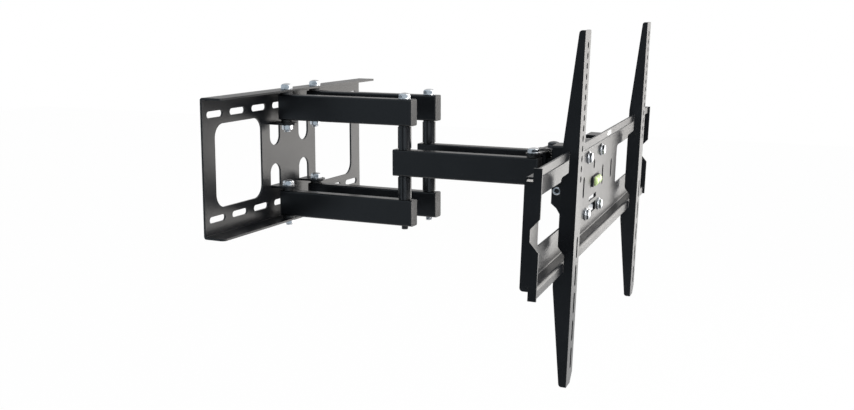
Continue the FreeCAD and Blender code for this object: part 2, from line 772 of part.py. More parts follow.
def make_knuckle():
    """Folded channel closed at its top and front, joined by a neck to the hub on the swivel pin."""
    body = new_body("knuckle")
    low = -tilt_drop - lug_radius
    channel = new_sketch(body, "YZ_Plane")
    outline = [(-knuckle_back, knuckle_top), (-knuckle_front, knuckle_top), (-knuckle_front, -tilt_drop)]
    outline += [(-tilt_forward - lug_radius / 2, low), (-tilt_forward + lug_radius / 2, low)]
    outline += [(-knuckle_back, -tilt_drop)]
    add_polygon(channel, outline)
    pad(body, channel, knuckle_half_width * 2, both_ways=True)
    bends = [(-knuckle_half_width, knuckle_top), (knuckle_half_width, knuckle_top)]
    round_edges(body, knuckle_wall, 1, bends)
    inside = new_sketch(body, "YZ_Plane")
    web_back = knuckle_wall - knuckle_front
    add_rectangle(inside, web_back, 0, low - lug_radius, knuckle_top - knuckle_wall)
    cut_slab(body, inside, (knuckle_half_width - knuckle_wall) * 2)
    hub = new_sketch(body, "XY_Plane")
    add_circle(hub, 0, 0, hub_radius)
    pad(body, hub, (yoke_inner - face_play) * 2, both_ways=True)
    neck = new_sketch(body, "YZ_Plane")
    neck_front = web_back - knuckle_wall / 2
    add_rectangle(neck, neck_front, -hub_radius / 2, -neck_half_height, neck_half_height)
    pad(body, neck, neck_half_width * 2, both_ways=True)
    bore = new_sketch(body, "XY_Plane")
    add_circle(bore, 0, 0, pin_radius + running_play)
    cut_through(body, bore)
    axle = new_sketch(body, "YZ_Plane")
    add_circle(axle, -tilt_forward, -tilt_drop, tilt_bolt_radius + hole_play)
    cut_through(body, axle)
    keep(body, "knuckle", head_placement())


def make_tilt_bolts():
    """Round-headed bolts through both cheeks, built upright and laid along the plate."""
    bolts, nuts = [], []
    outer = cheek_inner + bracket_sheet + face_play
    shank = outer - knuckle_half_width + knuckle_wall + tilt_nut_height + bolt_tip
    nut_foot = knuckle_half_width - knuckle_wall - tilt_nut_height
    head = solid_cylinder(tilt_head_radius, tilt_head_height, 0, 0, outer)
    bolts.append(join([head, solid_cylinder(tilt_bolt_radius, shank, 0, 0, outer - shank)]))
    far_head = solid_cylinder(tilt_head_radius, tilt_head_height, 0, 0, -outer - tilt_head_height)
    bolts.append(join([far_head, solid_cylinder(tilt_bolt_radius, shank, 0, 0, -outer)]))
    for foot in (nut_foot, -nut_foot - tilt_nut_height):
        nuts.append(hex_nut(tilt_nut_radius, tilt_bolt_radius, tilt_nut_height, 0, 0, foot))
    axis = Placement(Vector(0, -float(tilt_forward), -float(tilt_drop)), Rotation(Vector(0, 1, 0), 90))
    keep_group(bolts, "tilt_bolts", head_placement() * axis)
    keep_group(nuts, "tilt_nuts", head_placement() * axis)


# Screen plate with its tilt brackets, bolts and level


def make_screen_plate():
    body = new_body("screen_plate")
    lip_back = rail_front + plate_sheet
    under = rail_shelf - plate_sheet
    low_under = -low_shelf - plate_sheet
    profile = new_sketch(body, "YZ_Plane")
    upper = [(rail_front, under), (rail_front, rail_top), (lip_back, rail_top), (lip_back, rail_shelf)]
    upper += [(sheet_back, rail_shelf)]
    lower = [(sheet_back, low_under), (lip_back, low_under), (lip_back, -rail_foot)]
    lower += [(rail_front, -rail_foot), (rail_front, -low_shelf), (sheet_front, -low_shelf)]
    add_polygon(profile, upper + lower + [(sheet_front, under)])
    pad(body, profile, plate_width, both_ways=True)
    outer_bends = [(sheet_back, rail_shelf), (sheet_back, low_under)]
    outer_bends += [(rail_front, under), (rail_front, -low_shelf)]
    inner_bends = [(sheet_front, under), (sheet_front, -low_shelf)]
    inner_bends += [(lip_back, rail_shelf), (lip_back, low_under)]
    round_edges(body, plate_bend, 0, outer_bends)
    round_edges(body, plate_bend - plate_sheet, 0, inner_bends)
    flange = new_sketch(body, "YZ_Plane", plate_width / 2 - plate_sheet)
    notch_back = end_front + end_notch_depth
    notch_flat = end_notch_half - end_notch_slope
    outline = [(sheet_back, -end_low), (sheet_back, end_high), (end_step, end_high)]
    outline += [(end_step, rail_top), (end_front, rail_top), (end_front, end_notch_z + end_notch_half)]
    outline += [(notch_back, end_notch_z + notch_flat), (notch_back, end_notch_z - notch_flat)]
    outline += [(end_front, end_notch_z - end_notch_half), (end_front, -rail_foot)]
    outline += [(end_step, -rail_foot), (end_step, -end_low)]
    add_polygon(flange, outline)
    end = pad(body, flange, plate_sheet)
    mirror(body, [end], "YZ_Plane")
    windows = new_sketch(body, "XZ_Plane")
    inner, outer, half = plate_window_inner, plate_window_outer, plate_window_half
    add_rectangle(windows, inner, outer, -half, half)
    add_rectangle(windows, -outer, -inner, -half, half)
    cut_through(body, windows)
    round_edges(body, plate_window_corner, 1, mirrored((inner, half)) + mirrored((outer, half)))
    holes = new_sketch(body, "XZ_Plane")
    for x, z in mirrored((plate_bolt_x, plate_bolt_z)):
        add_circle(holes, x, z, plate_bolt_radius + hole_play)
    reach = rest_hole_width / 2
    for middle, height in ((rest_hole_z, rest_hole_height), (small_hole_z, small_hole_height)):
        add_rectangle(holes, -reach, reach, middle - height / 2, middle + height / 2)
    reach = level_length / 2 + hole_play
    rise = level_cap_radius + hole_play
    add_rectangle(holes, level_x - reach, level_x + reach, level_z - rise, level_z + rise)
    cut_through(body, holes)
    slits = new_sketch(body, "XZ_Plane")
    add_slot(slits, 0, middle_slit_z, middle_slit_length, slit_width, upright=True)
    for step in (-2, -1, 1, 2):
        add_slot(slits, slit_pitch * step, slit_z, slit_length, slit_width, upright=True)
    cut_through(body, slits)
    keep(body, "screen_plate", plate_placement())


def cut_wing(body, sketch):
    """Opening in a tilt bracket's wing only, as deep as its sheet."""
    sketch.setExpression("AttachmentOffset.Base.z", (-sheet_back - bracket_sheet).formula)
    feature = body.newObject("PartDesign::Pocket", f"{body.Label}_pocket")
    feature.Profile = sketch
    feature.Reversed = True
    bind(feature, "Length", bracket_sheet)


def make_tilt_bracket(label, side):
    """Angle of folded sheet: a hemmed wing bolted behind the plate and a cheek on the tilt axis."""
    body = new_body(label)
    inner = cheek_inner * side
    outer = wing_outer * side
    low, high = (inner, outer) if side > 0 else (outer, inner)
    wing = new_sketch(body, "XZ_Plane", -sheet_back - bracket_sheet)
    add_rectangle(wing, low, high, wing_bottom, wing_top)
    pad(body, wing, bracket_sheet)
    hem = new_sketch(body, "YZ_Plane", low)
    add_rectangle(hem, sheet_back, sheet_back + wing_hem_depth, wing_top - wing_hem, wing_top)
    pad(body, hem, high - low)
    foot = inner if side > 0 else inner - bracket_sheet
    cheek = new_sketch(body, "YZ_Plane", foot)
    lug_back = axis_y + lug_radius
    lug_rise = axis_z + lug_radius
    notch_back = sheet_back + bracket_sheet + cheek_notch_depth
    outline = [(sheet_back, cheek_top), (sheet_back + cheek_top_depth, cheek_top)]
    outline += [(axis_y - lug_radius, lug_rise), (lug_back, lug_rise), (lug_back, cheek_turn)]
    outline += [(axis_y, cheek_bottom), (cheek_foot, wing_bottom), (sheet_back, wing_bottom)]
    outline += [(sheet_back, cheek_notch_bottom), (notch_back, cheek_notch_bottom)]
    outline += [(notch_back, cheek_notch_top), (sheet_back, cheek_notch_top)]
    add_polygon(cheek, outline)
    pad(body, cheek, bracket_sheet)
    round_edges(body, lug_radius - hole_play, 0, [(lug_back, lug_rise)])
    window = new_sketch(body, "XZ_Plane")
    edges = (cheek_inner, wing_window_outer) if side > 0 else (-wing_window_outer, -cheek_inner)
    add_rectangle(window, *edges, cheek_notch_bottom, cheek_notch_top)
    cut_wing(body, window)
    holes = new_sketch(body, "XZ_Plane")
    for z in (plate_bolt_z, -plate_bolt_z):
        add_circle(holes, plate_bolt_x * side, z, plate_bolt_radius + hole_play)
    cut_through(body, holes)
    axle = new_sketch(body, "YZ_Plane")
    add_circle(axle, axis_y, axis_z, tilt_bolt_radius + running_play)
    cut_through(body, axle)
    keep(body, label, plate_placement())


def make_plate_bolts():
    """Bolts from the front of the plate, built upright and laid along the plate's normal."""
    bolts, washers, nuts = [], [], []
    shank = plate_washer_height + plate_sheet + bracket_sheet + plate_nut_height + bolt_tip
    head_foot = plate_washer_height - sheet_front
    nut_foot = -sheet_back - bracket_sheet - plate_nut_height
    bore = plate_bolt_radius + hole_play
    for x, z in mirrored((plate_bolt_x, plate_bolt_z)):
        head = (plate_head_radius, plate_head_height)
        bolts.append(hex_bolt(plate_bolt_radius, shank, *head, x, z, head_foot))
        washers.append(ring(plate_washer_radius, bore, plate_washer_height, x, z, -sheet_front))
        nuts.append(hex_nut(plate_head_radius, plate_bolt_radius, plate_nut_height, x, z, nut_foot))
    facing = plate_placement() * Placement(Vector(), Rotation(Vector(1, 0, 0), 90))
    keep_group(bolts, "plate_bolts", facing)
    keep_group(washers, "plate_washers", facing)
    keep_group(nuts, "plate_nuts", facing)


def make_level():
    """Spirit level seated in its opening: a vial between two end caps, along the plate."""
    vial_half = level_length / 2 - level_cap_length
    depth = sheet_front - level_proud + level_radius
    middle = Vector(float(level_x), float(depth), float(level_z))
    along = Placement(middle, Rotation(Vector(0, 1, 0), 90))
    vial = solid_cylinder(level_radius - hole_play, vial_half * 2, 0, 0, -vial_half)
    keep_group([vial], "level_vial", plate_placement() * along)
    caps = []
    for foot in (vial_half, -vial_half - level_cap_length):
        caps.append(solid_cylinder(level_cap_radius, level_cap_length, 0, 0, foot))
    keep_group(caps, "level_caps", plate_placement() * along)


# Screen brackets


def make_screen_bracket(label, left):
    """Slotted strip with a side flange that hooks over the top rail and passes the lower one."""
    body = new_body(label)
    bottom = strip_top - strip_length
    right = left + strip_width
    strip = new_sketch(body, "XZ_Plane", -strip_sheet)
    outline = [(left, bottom), (right - strip_chamfer, bottom), (right, bottom + strip_chamfer)]
    outline += [(right, strip_top), (left, strip_top)]
    add_polygon(strip, outline)
    pad(body, strip, strip_sheet)
    flange = new_sketch(body, "YZ_Plane", left)
    lip_front = rail_front - hook_play
    tooth_front = rail_front + plate_sheet + hook_play
    seat = rail_top + hook_play / 3
    upper = [(0, strip_top), (flange_top_depth, strip_top), (flange_hook_depth, seat + hook_rise)]
    upper += [(flange_hook_depth, seat - hook_drop), (tooth_front, seat - hook_drop), (tooth_front, seat)]
    upper += [(lip_front, seat)]
    middle = [(lip_front, bulge_start), (bulge_depth, bulge_top)]
    middle += [(bulge_depth, bulge_bottom), (lip_front, bulge_end)]
    shoulder = -rail_foot - hook_play
    lower = [(lip_front, shoulder), (flange_low_depth, shoulder), (flange_low_depth, low_taper_top)]
    lower += [(flange_bottom_depth, bottom), (0, bottom)]
    add_polygon(flange, upper + middle + lower)
    pad(body, flange, strip_sheet)
    round_edges(body, strip_corner, 1, [(right, strip_top)])
    ends = [(flange_top_depth, strip_top), (flange_bottom_depth, bottom)]
    round_edges(body, strip_corner, 0, ends)
    round_edges(body, bulge_corner, 0, [(bulge_depth, bulge_top), (bulge_depth, bulge_bottom)])
    slots = new_sketch(body, "XZ_Plane")
    x = left + strip_slot_x
    add_slot(slots, x, short_slot_first, short_slot_length, strip_slot_width, upright=True)
    short = cut_slab(body, slots, strip_sheet * 2)
    repeat(body, short, "Z_Axis", short_slot_pitch * (SHORT_SLOTS - 1), SHORT_SLOTS, backwards=True)
    slots = new_sketch(body, "XZ_Plane")
    add_slot(slots, x, long_slot_first, long_slot_length, strip_slot_width, upright=True)
    long = cut_slab(body, slots, strip_sheet * 2)
    repeat(body, long, "Z_Axis", long_slot_pitch * (LONG_SLOTS - 1), LONG_SLOTS, backwards=True)
    keep(body, label, plate_placement())


doc.recompute()
make_wall_plate()
make_shoulder_fasteners()
make_first_stage("left", -pivot_half_spacing)
make_first_stage("right", pivot_half_spacing)
make_second_stage("left", -pivot_half_spacing, running_play)
make_second_stage("right", pivot_half_spacing, open_play)
make_yoke()
make_wrist_fasteners()
make_knuckle()
make_tilt_bolts()
make_screen_plate()
make_tilt_bracket("left_tilt_bracket", -1)
make_tilt_bracket("right_tilt_bracket", 1)
make_plate_bolts()
make_level()
make_screen_bracket("left_screen_bracket", -strip_place)
make_screen_bracket("right_screen_bracket", strip_place)

doc.recompute()
for item in doc.Objects:
    if "Invalid" in item.State or "Error" in item.State:
        raise RuntimeError(f"{item.Label} failed: {item.State}")
for node in nodes:
    if node.Shape.isNull() or not node.Shape.isValid():
        raise RuntimeError(f"{node.Label} has no valid shape")
os.makedirs("parts", exist_ok=True)
for node in nodes:
    node.Shape.exportStep(f"parts/{node.Label}.step")
    print(node.Label, len(node.Shape.Solids), round(node.Shape.Volume))
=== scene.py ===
import json
import math

import bpy
import numpy as np
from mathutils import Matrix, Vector


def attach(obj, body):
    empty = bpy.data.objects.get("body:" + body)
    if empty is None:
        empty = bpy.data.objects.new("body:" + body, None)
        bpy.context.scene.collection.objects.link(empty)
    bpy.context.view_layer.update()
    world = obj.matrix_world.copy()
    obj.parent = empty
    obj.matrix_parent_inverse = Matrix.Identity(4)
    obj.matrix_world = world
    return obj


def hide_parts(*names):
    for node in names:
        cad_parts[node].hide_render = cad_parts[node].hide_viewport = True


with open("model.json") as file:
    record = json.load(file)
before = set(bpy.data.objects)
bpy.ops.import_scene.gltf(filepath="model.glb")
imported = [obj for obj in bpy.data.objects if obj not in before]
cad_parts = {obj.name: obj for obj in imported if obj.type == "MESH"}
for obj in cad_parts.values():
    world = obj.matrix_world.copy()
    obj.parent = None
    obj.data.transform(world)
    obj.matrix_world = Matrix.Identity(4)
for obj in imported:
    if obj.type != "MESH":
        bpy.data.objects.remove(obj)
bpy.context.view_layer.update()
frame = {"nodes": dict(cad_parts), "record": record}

# Looks of the television wall mount: black powder coat, zinc fasteners, black plugs, green level.
# The frame is the solids' own: wall at y = 0, room towards -Y, +Z up.
# Pieces are worked out in millimetres and become metres in grid_mesh. The studio is in metres.

MM = 0.001
SIDES = 72
SHARP_ANGLE = math.radians(32.0)
SQUARENESS = 8

# Wall, arms and elbow posts
PIVOT_X = 41.5
SHOULDER_Y = -25.5
ARM_LENGTH = 200.0
ELBOW_Y = SHOULDER_Y - ARM_LENGTH
WRIST_Y = ELBOW_Y - ARM_LENGTH
WALL_TOP = 100.5
LUG_UNDER = 47.0
ARM_TOP = 93.0
POST_RADIUS, POST_LIP, POST_END, POST_BORE = 10.0, 0.25, 9.0, 5.4
POST_FOOT, POST_TOP = 19.35, 54.4

# Pivot bolts, nuts and threads
BOLT_RADIUS = 5.0
BOLT_HEAD = 8.6
HEAD_HEIGHT = 7.5
TALL_HEAD = 9.2
NUT_HEIGHT = 8.0
THIN_NUT = 4.5
BOLT_TIP = 3.0
ELBOW_TIP = 5.5
SHANK_INSET = 0.2
SHANK_END, THREAD_START = -1.2, -1.0
THREAD_PITCH, THREAD_DEPTH, ROWS_PER_TURN = 1.5, 0.7, 10
TIP_FADE, TIP_CUT = 0.6, 0.6

# Yoke, swivel pin and tilt bolts
YOKE_TOP = 25.35
PIN_RADIUS, PIN_HEAD, PIN_HEAD_HEIGHT, PIN_SOCKET, PIN_END = 6.0, 9.0, 1.8, 2.8, 4.0
SWIVEL = math.radians(6.75)
TILT = math.radians(2.0)
TILT_FORWARD, TILT_DROP = 25.4, 28.85
CHEEK_INNER, CHEEK_OUTER = 17.5, 23.9
TILT_BOLT, TILT_HEAD, TILT_HEAD_HEIGHT, TILT_SOCKET = 4.0, 5.6, 3.6, 4.2
TILT_NUT, TILT_NUT_HEIGHT = 7.2, 6.5
SEAT_RADIUS, SEAT_HEIGHT = 7.0, 0.8
# Black disc of painted shade in the tilt bolts' sockets
SOCKET_SHADE_RADIUS, SOCKET_SHADE_HEIGHT = 3.4, 1.3

# Screen plate and its bolts
PLATE_REACH, PLATE_RISE = 71.5, 14.2
PLATE_HALF, END_STEP, END_LOW = 396.0, 18.6, 60.7
SHEET_FRONT, SHEET_BACK, WING = 25.7, 28.2, 3.0
RAIL_FRONT, RAIL_TOP = 11.7, 72.0
PLATE_BOLT_X, PLATE_BOLT_Z = 46.0, 39.4
PLATE_BOLT, PLATE_HEAD, PLATE_HEAD_HEIGHT = 4.0, 7.6, 5.3
PLATE_WASHER, PLATE_WASHER_HEIGHT, PLATE_NUT = 8.8, 1.6, 6.5

# Spirit level, weld beads and white mark on the screen plate
TRAY_X, TRAY_Z, TRAY_HALF, TRAY_RISE, TRAY_PROUD = 10.0, 0.2, 23.2, 7.0, 3.0
VIAL_X, VIAL_HALF, VIAL_RISE, VIAL_PROUD = 11.0, 19.5, 6.6, 4.8
VIAL_ROWS, VIAL_POLE = 61, 0.02
BUBBLE_HALF, BUBBLE_RADIUS, BUBBLE_POLE = 5.5, 1.5, 0.01
BUBBLE_UP, BUBBLE_OUT = 0.62, 0.72
LINE_X, LINE_HALF, LINE_PROUD = 7.0, 0.3, 0.08
WINDOW_X, WINDOW_Z, WINDOW_HALF, WINDOW_RISE = 5.0, 1.5, 30.2, 7.4
# Black plate of painted shade in the level's window
WINDOW_SHADE_INSET, WINDOW_SHADE_DEPTH = 1.4, 1.0
STRAP_X, STRAP_HALF, STRAP_DEPTH = -19.0, 6.3, 1.0
BEAD_INSET, BEAD_DROP, BEAD_PLAY = 1.25, 1.8, 0.3
BEAD_HALF, BEAD_RISE = 1.15, 2.1
MARK_X, MARK_DROP, MARK_HALF, MARK_RISE = 25.0, 5.2, 14.0, 3.1

# Noise and edges of the finishes, and the colour sockets of a mix node
PEEL_DETAIL, CLOUD_DETAIL, DUST_DETAIL = 2.0, 4.0, 1.0
CLOUD_RANGE = (0.3, 0.7)
DUST_SCALE, DUST_RANGE, DUST_SHARE = 2600.0, (0.66, 0.8), 0.3
# The last share lightens the coat's edges, partly as worn paint and partly as painted highlight.
EDGE_SAMPLES, EDGE_RANGE, RUBBED_AND_HIGHLIGHT_SHARE = 4, (0.995, 0.8), 0.7
FIRST_COLOUR, SECOND_COLOUR, MIXED_COLOUR = 6, 7, 2

# Studio
CAMERA_PLACE = (-1.59262, -1.00078, 0.23752)
CAMERA_YAW, CAMERA_PITCH = math.radians(25.48), math.radians(-9.83)
CAMERA_LENS, SENSOR_WIDTH, CLIP_END = 50.447, 36.0, 100.0
BRIGHT_SIDE, BRIGHT_RANGE = (0.86, -0.51, 0.0), (-0.7, 0.9)
COOL_TINT, WARM_TINT, TINT_RANGE = (0.78, 0.9, 1.0), (1.0, 0.99, 0.98), (0.0, 0.8)
DIM_LIGHT, SIDE_LIGHT = 0.1, 0.9
DOORWAY, DOORWAY_RANGE = (-0.975, 0.137, -0.17), (0.93, 0.985)
MIRRORED_WALL, MIRRORED_DOORWAY = 0.68, 0.1
FLOOR_LEFT, FLOOR_RIGHT, FLOOR_NEAR, FLOOR_FAR, FLOOR_LEVEL = -1.2, 9.0, -6.0, 9.0, -1.0
FLOOR_WHITE, FLOOR_MIRRORED = 0.985, 0.9
WHITE, PALE = (1.0, 1.0, 1.0, 1.0), (0.85, 0.85, 0.85, 1.0)
NEUTRAL, WARM = (1.0, 1.0, 1.0), (1.0, 0.965, 0.92)


# Frames


def screen_point(x, y, z):
    """Point of the screen plate's own frame, tilted about its axis, swivelled and carried to the wrist."""
    dy, dz = y - PLATE_REACH, z + PLATE_RISE
    ty = dy * math.cos(TILT) - dz * math.sin(TILT) - TILT_FORWARD
    tz = dy * math.sin(TILT) + dz * math.cos(TILT) - TILT_DROP
    wx = x * math.cos(SWIVEL) - ty * math.sin(SWIVEL)
    wy = x * math.sin(SWIVEL) + ty * math.cos(SWIVEL) + WRIST_Y
    return np.array([wx, wy, tz])


SCREEN_ORIGIN = screen_point(0, 0, 0)
SCREEN_X = screen_point(1, 0, 0) - SCREEN_ORIGIN
SCREEN_FRONT = screen_point(0, -1, 0) - SCREEN_ORIGIN
SCREEN_UP = screen_point(0, 0, 1) - SCREEN_ORIGIN
UP = np.array([0.0, 0.0, 1.0])
RIGHT = np.array([1.0, 0.0, 0.0])


# Meshes


def grid_mesh(name, points):
    """Mesh of a grid of points, rows along the piece and columns round it, with one face over each end."""
    rows, columns, _ = points.shape
    index = np.arange(rows * columns).reshape(rows, columns)
    after = np.roll(index, -1, axis=1)
    quads = np.stack([index[:-1], after[:-1], after[1:], index[1:]], axis=-1).reshape(-1, 4)
    faces = [*quads.tolist(), index[0][::-1].tolist(), index[-1].tolist()]
    mesh = bpy.data.meshes.new(name)
    mesh.from_pydata((points.reshape(-1, 3) * MM).tolist(), [], faces)
    mesh.polygons.foreach_set("use_smooth", np.ones(len(faces), dtype=bool))
    mesh.set_sharp_from_angle(angle=SHARP_ANGLE)
    mesh.update()
    return mesh


def add_piece(name, meshes, material, body, replaced=()):
    """Join meshes into one object at the origin that rides on a body, in place of the replaced nodes."""
    objects = [bpy.data.objects.new(name, mesh) for mesh in meshes]
    bpy.ops.object.select_all(action="DESELECT")
    for piece in objects:
        bpy.context.scene.collection.objects.link(piece)
        piece.select_set(True)
    bpy.context.view_layer.objects.active = objects[0]
    if len(objects) > 1:
        bpy.ops.object.join()
    piece = bpy.context.view_layer.objects.active
    piece.name = name
    piece.data.materials.clear()
    piece.data.materials.append(material)
    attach(piece, body)
    if replaced:
        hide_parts(*replaced)
    return piece


def round_angles():
    """Even angles round a piece, one for each column of its grid."""
    return np.linspace(0.0, 2.0 * np.pi, SIDES, endpoint=False)


def turned(name, origin, axis, side, heights, radii):
    """Profile turned about an axis.

    Row k is a ring at heights[k] along the axis, and radii[k] is its radius for every angle, so a
    radius may change round the ring as on a hexagon or a thread.
    """
    angle = round_angles()
    other = np.cross(axis, side)
    ring = np.cos(angle)[:, None] * side + np.sin(angle)[:, None] * other
    radius = np.broadcast_to(radii, (len(heights), SIDES))
    points = origin + np.asarray(heights)[:, None, None] * axis + radius[:, :, None] * ring[None]
    return grid_mesh(name, points)


def apothem(radius):
    """Distance from a hexagon's centre to the middle of its flat."""
    return radius * math.cos(math.pi / 6.0)


def hexagon(radius):
    """Distance from the centre to a hexagon's edge at each angle: apothem / cos of the angle off the flat."""
    off_flat = (round_angles() % (np.pi / 3.0)) - np.pi / 6.0
    return apothem(radius) / np.cos(off_flat)


def rounded_square():
    """Places across and upward on the curve |u|^n + |v|^n = 1, a square with rounded corners."""
    across, upward = np.cos(round_angles()), np.sin(round_angles())
    bend = (np.abs(across) ** SQUARENESS + np.abs(upward) ** SQUARENESS) ** (-1.0 / SQUARENESS)
    return bend * across, bend * upward


def bolt_head(name, origin, axis, side, radius, height):
    """Hexagon head on a round flange: the prism's corners are cut by a cone and its top is a low dome.

    A row is a share of the height and a radius in apothems. Prism and dome also keep inside the hexagon.
    """
    flange = [(0.0, 0.3), (0.0, 1.18), (0.04, 1.22), (0.14, 1.22), (0.18, 1.18)]
    prism = [(0.22, 1.155), (0.56, 1.155), (0.64, 1.13), (0.72, 1.07), (0.8, 0.97)]
    dome = [(0.87, 0.82), (0.93, 0.62), (0.975, 0.38), (1.0, 0.1)]
    levels, profile = np.array(flange + prism + dome).T
    cone = profile[:, None] * apothem(radius)
    on_flange = np.arange(len(levels))[:, None] < len(flange)
    radii = np.where(on_flange, cone, np.minimum(hexagon(radius)[None, :], cone))
    return turned(name, origin, axis, side, levels * height, radii)


def hex_nut(name, origin, axis, side, radius, height):
    """Hexagon prism whose corners are cut by a cone at both faces, in rows as on the bolt head."""
    lower = [(0.0, 0.5), (0.0, 0.93), (0.06, 1.02), (0.14, 1.12)]
    upper = [(0.86, 1.12), (0.94, 1.02), (1.0, 0.93), (1.0, 0.62)]
    levels, profile = np.array(lower + upper).T
    cone = profile[:, None] * apothem(radius)
    return turned(name, origin, axis, side, levels * height, np.minimum(hexagon(radius)[None, :], cone))


def bolt_end(name, origin, axis, side, radius, foot, top):
    """Plain shank that ends in a helical thread.

    The shank runs from the foot to just short of the surface at height 0. From there the radius falls by
    the thread's depth as a triangle wave of height / pitch minus turns, and fades to a plain tip.
    """
    rows = int((top - THREAD_START) / THREAD_PITCH * ROWS_PER_TURN)
    height = np.linspace(THREAD_START, top, rows)
    turn = np.linspace(0.0, 1.0, SIDES, endpoint=False)
    phase = (height[:, None] / THREAD_PITCH - turn[None, :]) % 1.0
    fade = np.clip((top - height) / (TIP_FADE * THREAD_PITCH), 0.0, 1.0)[:, None]
    cut = np.abs(2.0 * phase - 1.0) * fade + TIP_CUT * (1.0 - fade)
    shank = np.full((2, SIDES), radius)
    heights = np.concatenate([[foot, SHANK_END], height])
    return turned(name, origin, axis, side, heights, np.concatenate([shank, radius - THREAD_DEPTH * cut]))


def socket_head(name, origin, axis, side, radius, height, socket):
    """Round head with a rounded rim: the profile runs up its side, over the rim and down a hexagon socket.

    A row is a share of the height and a share of the radius, or of the socket's hexagon.
    """
    skirt = [(0.0, 0.05), (0.0, 1.0), (0.72, 1.0)]
    rim = [(0.86, 0.985), (0.95, 0.94), (1.0, 0.86), (1.0, 0.8)]
    outer_levels, outer = np.array(skirt + rim).T
    inner_levels, inner = np.array([(0.97, 1.0), (0.3, 1.0), (0.3, 0.1)]).T
    levels = np.concatenate([outer_levels, inner_levels]) * height
    outside = outer[:, None] * np.full((1, SIDES), radius)
    inside = inner[:, None] * hexagon(socket)[None, :]
    return turned(name, origin, axis, side, levels, np.concatenate([outside, inside]))


def disc(name, origin, axis, side, radius, height):
    """Washer seen from outside: a flat disc whose rim is rounded off by a fifth of its height."""
    levels, profile = np.array([(0.0, 0.3), (0.0, 0.96), (0.2, 1.0), (0.8, 1.0), (1.0, 0.96), (1.0, 0.3)]).T
    return turned(name, origin, axis, side, levels * height, profile[:, None] * radius)


def elbow_post(name, centre, axis):
    """Tube with a narrower collar at each end: a row is a share of its height and a radius."""
    collar = [(0.0, POST_BORE), (0.0, POST_END), (0.06, POST_END)]
    lower = [*collar, (0.061, POST_RADIUS - POST_LIP), (0.065, POST_RADIUS)]
    upper = [(1.0 - share, radius) for share, radius in reversed(lower)]
    levels, profile = np.array(lower + upper).T
    heights = POST_FOOT + levels * (POST_TOP - POST_FOOT)
    return turned(name, centre, axis, RIGHT, heights, profile[:, None])


def soft_block(name, centre, half_length, half_depth, half_height):
    """Block on the screen plate: a rounded square carried along its length and drawn in at both ends.

    A row is a share of the half length and of the section. Columns run backwards so that faces look out.
    """
    across, upward = rounded_square()
    section = half_depth * across[:, None] * SCREEN_FRONT + half_height * upward[:, None] * SCREEN_UP
    near = [(-1.0, 0.9), (-0.97, 0.97), (-0.9, 1.0)]
    far = [(-along, share) for along, share in reversed(near)]
    along, draw = np.array(near + far).T[:, :, None, None]
    points = centre + along * half_length * SCREEN_X + draw * section[None]
    return grid_mesh(name, points[:, ::-1])


# Shader groups


def feed(tree, value, socket):
    """Link a node's output to a socket, or write a plain number or row of numbers into it."""
    if isinstance(value, (int, float, tuple)):
        socket.default_value = value
    else:
        tree.links.new(value, socket)


def new_group(name, inputs, outputs):
    """Shader node group with float inputs and the outputs given as (name, socket type)."""
    group = bpy.data.node_groups.new(name, "ShaderNodeTree")
    for label, value in inputs:
        socket = group.interface.new_socket(label, in_out="INPUT", socket_type="NodeSocketFloat")
        socket.default_value = value
    for label, kind in outputs:
        group.interface.new_socket(label, in_out="OUTPUT", socket_type=kind)
    return group, group.nodes.new("NodeGroupInput"), group.nodes.new("NodeGroupOutput")


def noise(tree, scale, detail, source):
    """Cloudy value between 0 and 1, read at a place."""
    node = tree.nodes.new("ShaderNodeTexNoise")
    feed(tree, scale, node.inputs["Scale"])
    feed(tree, detail, node.inputs["Detail"])
    tree.links.new(source, node.inputs["Vector"])
    return node.outputs["Fac"]


def math_node(tree, operation, first, second):
    """One step of arithmetic on two values, each a number or a node's output."""
    node = tree.nodes.new("ShaderNodeMath")
    node.operation = operation
    feed(tree, first, node.inputs[0])
    feed(tree, second, node.inputs[1])
    return node.outputs[0]


def dot_node(tree, first, second):
    """Dot product of two directions."""
    node = tree.nodes.new("ShaderNodeVectorMath")
    node.operation = "DOT_PRODUCT"
    feed(tree, first, node.inputs[0])
    feed(tree, second, node.inputs[1])
    return node.outputs["Value"]


def map_range(tree, factor, source, target=(0.0, 1.0), interpolation="LINEAR"):
    """Value carried from one range onto another and held at its ends."""
    node = tree.nodes.new("ShaderNodeMapRange")
    node.interpolation_type = interpolation
    for label, value in zip(("From Min", "From Max", "To Min", "To Max"), (*source, *target)):
        node.inputs[label].default_value = value
    tree.links.new(factor, node.inputs["Value"])
    return node.outputs["Result"]


def make_surface_group():
    """Fine orange-peel height, slow cloudiness and sparse dust, all from Object coordinates."""
    group, inside, outside = new_group(
        "coat_surface",
        [("Peel Scale", 900.0), ("Cloud Scale", 14.0)],
        [("Height", "NodeSocketFloat"), ("Cloud", "NodeSocketFloat"), ("Dust", "NodeSocketFloat")],
    )
    place = group.nodes.new("ShaderNodeTexCoord").outputs["Object"]
    peel = noise(group, inside.outputs["Peel Scale"], PEEL_DETAIL, place)
    cloud = noise(group, inside.outputs["Cloud Scale"], CLOUD_DETAIL, place)
    dust = map_range(group, noise(group, DUST_SCALE, DUST_DETAIL, place), DUST_RANGE)
    group.links.new(peel, outside.inputs["Height"])
    group.links.new(cloud, outside.inputs["Cloud"])
    group.links.new(dust, outside.inputs["Dust"])
    return group


